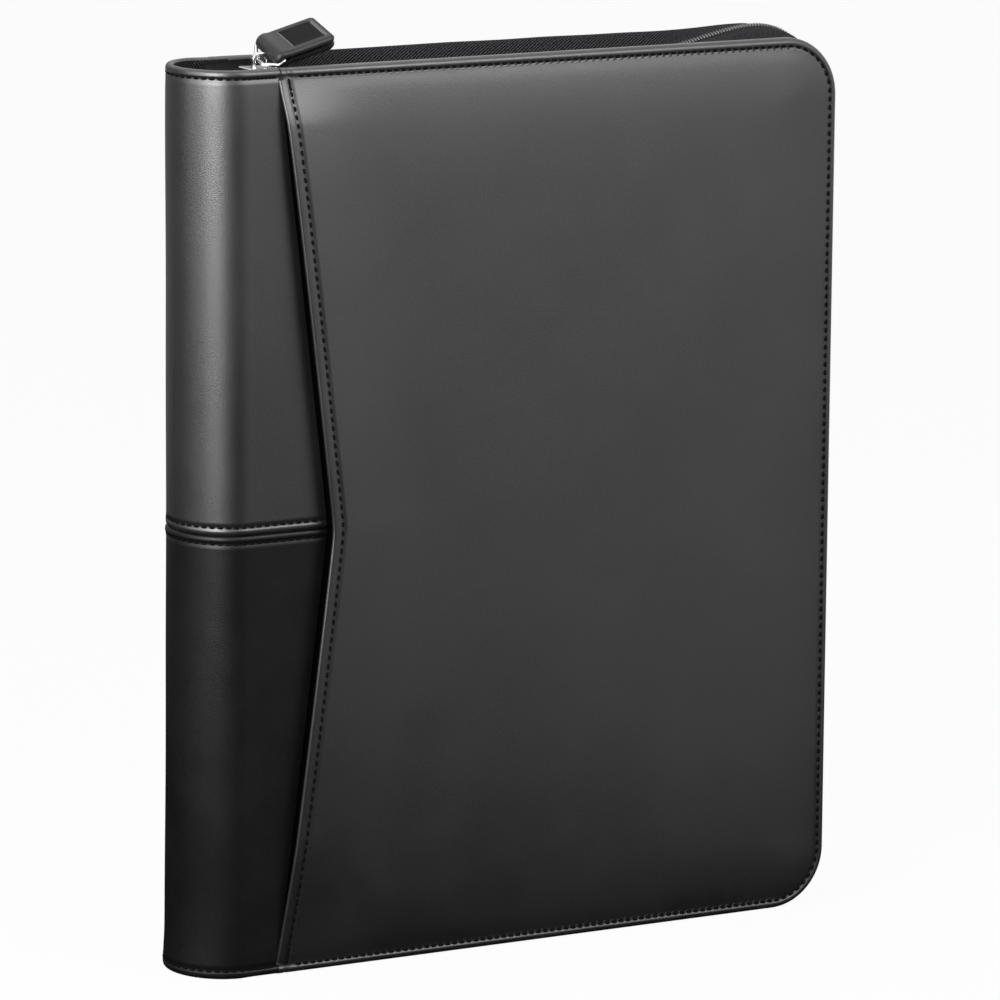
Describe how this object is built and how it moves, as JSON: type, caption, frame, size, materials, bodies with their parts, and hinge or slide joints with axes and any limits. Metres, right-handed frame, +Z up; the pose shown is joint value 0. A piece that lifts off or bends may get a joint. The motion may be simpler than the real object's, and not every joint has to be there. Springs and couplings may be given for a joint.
{
  "type": "zippered padfolio",
  "caption": "Black leather zippered padfolio with a slash front pocket, rounded spine, coil zip with leather pull tab, writing pad, pen loop and card slots.",
  "frame": {"origin": "middle of the bottom of the closed case, where it stands on its bottom edge", "axes": "+Z up the spine, +X from the spine to the fore-edge, -Y out of the front cover"},
  "size_m": [0.265, 0.047, 0.3425],
  "materials": {
    "black_leather": "satin, smooth",
    "tab_leather": "satin, smooth",
    "foam": "soft padding",
    "board": "grey binder's board",
    "lining_cloth": "plain woven",
    "organizer_leatherette": "fine grain",
    "zip_tape": "woven twill",
    "zip_coil": "nylon",
    "zip_metal": "bright nickel",
    "pad_board": "grey board",
    "paper": "matte",
    "binding": "cloth tape",
    "elastic": "elastic webbing"
  },
  "bodies": {
    "back_cover": {"back_leather": "black_leather", "back_foam": "foam", "back_board": "board", "back_lining": "lining_cloth", "back_zip_tape": "zip_tape", "back_zip_coil": "zip_coil", "back_zip_stop": "zip_metal", "pad_pocket": "organizer_leatherette", "pad_backing": "pad_board", "pad_sheets": "paper", "pad_header": "binding", "pen_loop": "elastic"},
    "spine": {"spine_leather_upper": "black_leather", "spine_leather_lower": "black_leather", "spine_board": "board", "spine_lining": "lining_cloth"},
    "front_cover": {"front_wrap_upper": "black_leather", "front_wrap_lower": "black_leather", "front_pocket_panel": "black_leather", "pocket_lining": "lining_cloth", "front_foam": "foam", "front_board": "board", "front_lining": "lining_cloth", "front_zip_tape": "zip_tape", "front_zip_coil": "zip_coil", "front_zip_stop": "zip_metal", "document_pocket": "organizer_leatherette", "card_slot_back": "organizer_leatherette", "card_slot_middle": "organizer_leatherette", "card_slot_front": "organizer_leatherette"},
    "zip_slider": {"slider_body": "zip_metal", "slider_crown": "zip_metal"},
    "ring": {"pull_ring": "zip_metal"},
    "tab": {"pull_tab": "tab_leather"}
  },
  "joints": [
    {"name": "spine_fold", "type": "hinge", "parent": "back_cover", "child": "spine", "pos_m": [-0.1135, 0.0235, 0.165], "axis": [0, 0, -1], "range_deg": [0, 90]},
    {"name": "cover_fold", "type": "hinge", "parent": "spine", "child": "front_cover", "pos_m": [-0.1135, -0.021, 0.165], "axis": [0, 0, -1], "range_deg": [0, 90]},
    {"name": "slider_slide", "type": "slide", "parent": "back_cover", "child": "zip_slider", "axis": [1, 0, 0], "range_m": [0, 0.15]},
    {"name": "ring_swing", "type": "hinge", "parent": "zip_slider", "child": "ring", "pos_m": [-0.0975, 0.00125, 0.32997], "axis": [0.113, -0.9203, -0.3746], "range_deg": [-8, 80]},
    {"name": "tab_swing", "type": "hinge", "parent": "ring", "child": "tab", "pos_m": [-0.09237, 0.0003, 0.33385], "axis": [0.113, -0.9203, -0.3746], "range_deg": [-10, 60]}
  ]
}
